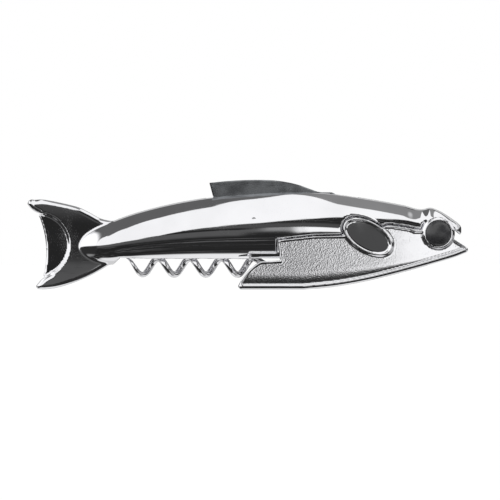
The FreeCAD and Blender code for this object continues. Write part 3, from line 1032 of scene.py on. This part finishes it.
# Cards that the metal mirrors. Each has its fades along X (left below zero, right above), up from
# below and down from above, as shares of a direction, and its brightness where no setting gives it.
FACE_CARD = ((-0.035, -0.01), (-0.2, -0.03), (0.06, 0.02))
HEAD_CARD = ((0.008, 0.024), (-0.25, -0.1), (0.1, 0.05))
HEAD_CARD_LIGHT = 1.1
TAIL_CARD = ((-0.02, -0.03), (-0.35, -0.2), (-0.01, -0.05))
TAIL_CARD_LIGHT = 0.1
FIN_CARD = ((0.14, 0.07), (0.03, 0.07), (0.26, 0.16))
FIN_CARD_LIGHT = 0.075
TABLE_LIGHT = 0.95
STREAK_LIGHT = 0.13
# Light by height on the three far sides: lowest, a fade, middle, a fade and highest.
RIGHT_SIDE = (0.4, (-0.12, -0.05), 0.05, (0.2, 0.26), 1.0)
LEFT_SIDE = (0.3, (-0.8, -0.7), 0.03, (-0.1, 0.0), 1.2)
REAR_SIDE = (0.75, (-0.2, -0.12), 0.05, (0.2, 0.26), 0.65)


def studio_world(stage):
    """White round the camera's view; in reflections a soft box, pale cards and a dark room side."""
    world = bpy.data.worlds.new("studio")
    bpy.context.scene.world = world
    world.use_nodes = True
    nodes = Nodes(world.node_tree)
    world.node_tree.nodes.clear()
    way = nodes.add("ShaderNodeTexCoord").outputs["Generated"]
    x, y, z = nodes.add("ShaderNodeSeparateXYZ", None, i0=way).outputs
    aside = nodes.math("ABSOLUTE", x)

    def over(level, share, value):
        """Puts a value over a level by its share."""
        change = nodes.math("SUBTRACT", value, level)
        return nodes.math("ADD", level, nodes.math("MULTIPLY", share, change))

    def both(first, second):
        return nodes.math("MULTIPLY", first, second)

    def line(value, slope, start):
        return nodes.math("MULTIPLY_ADD", value, slope, start)

    def card(across, sides, rise, fall):
        return both(nodes.ramp(across, *sides), both(nodes.ramp(z, *rise), nodes.ramp(z, *fall)))

    def by_height(lowest, first, middle, second, highest):
        return over(over(lowest, nodes.ramp(z, *first), middle), nodes.ramp(z, *second), highest)

    streak_map = nodes.add("ShaderNodeMapping", None, Vector=way, Scale=(2.5, 2.5, 16.0))
    streaks = nodes.add("ShaderNodeTexNoise", None, Vector=streak_map.outputs["Vector"],
                        Scale=1.6, Detail=3.0)
    streak = nodes.ramp(streaks.outputs["Fac"], 0.55, 0.75)
    room = line(streak, STREAK_LIGHT, stage.dark_zone)
    room = over(room, card(x, *FACE_CARD), stage.face_card)
    room = over(room, card(x, *HEAD_CARD), HEAD_CARD_LIGHT)
    room = over(room, card(x, *TAIL_CARD), TAIL_CARD_LIGHT)
    room = over(room, card(aside, *FIN_CARD), FIN_CARD_LIGHT)
    behind_low = both(nodes.ramp(y, 0.1, 0.2), nodes.ramp(z, 0.1, 0.0))
    table = nodes.math("MAXIMUM", nodes.ramp(z, -0.93, -0.97), behind_low)
    room = over(room, table, TABLE_LIGHT)
    # Soft box overhead, with a grey strip behind it and a lower edge that climbs from left to right.
    strip = over(0.13, nodes.ramp(x, -0.1, 0.1), 0.27)
    edge = nodes.math("MAXIMUM", line(aside, -6.0, 0.55), line(aside, -1.2, -0.1))
    box = over(strip, nodes.ramp(nodes.math("SUBTRACT", y, edge), 0.02, -0.03), stage.box_light)
    box = over(box, both(nodes.ramp(x, 0.3, 0.34), nodes.ramp(z, 0.35, 0.45)), stage.box_light)
    rise = nodes.math("MINIMUM", nodes.math("MAXIMUM", line(x, 2.0, 0.3), -0.08), 0.72)
    level = over(room, nodes.ramp(nodes.math("SUBTRACT", z, rise), -0.01, 0.02), box)
    level = over(level, nodes.ramp(x, 0.5, 0.6), by_height(*RIGHT_SIDE))
    level = over(level, nodes.ramp(x, -0.5, -0.62), by_height(*LEFT_SIDE))
    level = over(level, both(nodes.ramp(y, 0.15, 0.3), nodes.ramp(z, 0.66, 0.6)), by_height(*REAR_SIDE))
    level = over(level, nodes.add("ShaderNodeLightPath").outputs["Is Camera Ray"], 1.0)
    shine = nodes.add("ShaderNodeBackground", None, Color=(1.0, 1.0, 1.0, 1.0), Strength=level)
    out = nodes.add("ShaderNodeOutputWorld")
    nodes.feed(out.inputs["Surface"], shine.outputs["Background"])


def stage_floor():
    """Wide sheet of pale paper just under the fish."""
    size, drop = 4.0, 0.0002
    mesh = bpy.data.meshes.new("floor")
    mesh.from_pydata([(-size, -size, 0), (size, -size, 0), (size, size, 0), (-size, size, 0)], [],
                     [(0, 1, 2, 3)])
    floor = bpy.data.objects.new("floor", mesh)
    floor.location.z = -drop
    bpy.context.scene.collection.objects.link(floor)
    material = bpy.data.materials.new("pale floor")
    material.use_nodes = True
    nodes = Nodes(material.node_tree)
    material.node_tree.nodes.clear()
    paper = nodes.add("ShaderNodeBsdfDiffuse", None, Color=(0.85, 0.85, 0.86, 1.0))
    glow = nodes.add("ShaderNodeEmission", None, Strength=1.08)
    camera = nodes.add("ShaderNodeLightPath").outputs["Is Camera Ray"]
    share = nodes.math("MULTIPLY", camera, 0.9)
    both = nodes.add("ShaderNodeMixShader", None, i0=share, i1=paper.outputs[0], i2=glow.outputs[0])
    out = nodes.add("ShaderNodeOutputMaterial")
    nodes.feed(out.inputs["Surface"], both.outputs[0])
    floor.data.materials.append(material)
    floor.visible_glossy = False


def stage_light(name, place, size, power, target):
    """Square lamp that faces a target and stays out of reflections."""
    lamp = bpy.data.lights.new(name, "AREA")
    lamp.energy = power
    lamp.size = size
    holder = bpy.data.objects.new(name, lamp)
    holder.location = place
    aim = holder.location - target
    holder.rotation_euler = aim.to_track_quat("Z", "Y").to_euler()
    holder.visible_glossy = False
    bpy.context.scene.collection.objects.link(holder)


class FISH_OT_stage(bpy.types.Operator):
    """Pale floor, studio surroundings, soft light and camera"""
    bl_idname = "fish.stage"
    bl_label = "Stage"

    def execute(self, context):
        stage = context.scene.fish_stage
        studio_world(stage)
        stage_floor()
        low, high = CAD_BOX
        middle = 0.5 * (low + high)
        stage_light("key", place=(-0.2, -0.5, 0.7), size=0.5, power=1.5, target=middle)
        lens = bpy.data.cameras.new("camera")
        lens.sensor_width = 36.0
        lens.lens = lens.sensor_width * stage.camera_distance / stage.frame_width
        camera = bpy.data.objects.new("camera", lens)
        camera.location = (CAMERA_SHIFT, -stage.camera_distance, stage.aim_height)
        camera.rotation_euler = (math.radians(90), 0.0, 0.0)
        context.scene.collection.objects.link(camera)
        context.scene.camera = camera
        context.scene.view_settings.view_transform = "Standard"
        return {"FINISHED"}


STEPS = (FISH_OT_handle, FISH_OT_lever, FISH_OT_worm, FISH_OT_knife, FISH_OT_eyes, FISH_OT_hardware,
         FISH_OT_stage)


class FISH_PT_panel(bpy.types.Panel):
    """Sizes, finishes and build steps of the fish corkscrew"""
    bl_idname = "FISH_PT_panel"
    bl_label = "Fish corkscrew"
    bl_space_type = "VIEW_3D"
    bl_region_type = "UI"
    bl_category = "Fish corkscrew"

    def draw(self, context):
        for settings in (context.scene.fish_sizes, context.scene.fish_look, context.scene.fish_stage):
            box = self.layout.box()
            for key in settings.__annotations__:
                box.prop(settings, key)
        for step in STEPS:
            self.layout.operator(step.bl_idname)


CLASSES = (FishLook, FishSizes, FishStage) + STEPS + (FISH_PT_panel,)


def register():
    for cls in CLASSES:
        bpy.utils.register_class(cls)
    bpy.types.Scene.fish_look = bpy.props.PointerProperty(type=FishLook)
    bpy.types.Scene.fish_sizes = bpy.props.PointerProperty(type=FishSizes)
    bpy.types.Scene.fish_stage = bpy.props.PointerProperty(type=FishStage)


def unregister():
    del bpy.types.Scene.fish_stage
    del bpy.types.Scene.fish_sizes
    del bpy.types.Scene.fish_look
    for cls in reversed(CLASSES):
        bpy.utils.unregister_class(cls)


def main():
    register()
    bpy.ops.fish.handle()
    bpy.ops.fish.lever()
    bpy.ops.fish.worm()
    bpy.ops.fish.knife()
    bpy.ops.fish.eyes()
    bpy.ops.fish.hardware()
    bpy.ops.fish.stage()


if __name__ == "__main__":
    main()
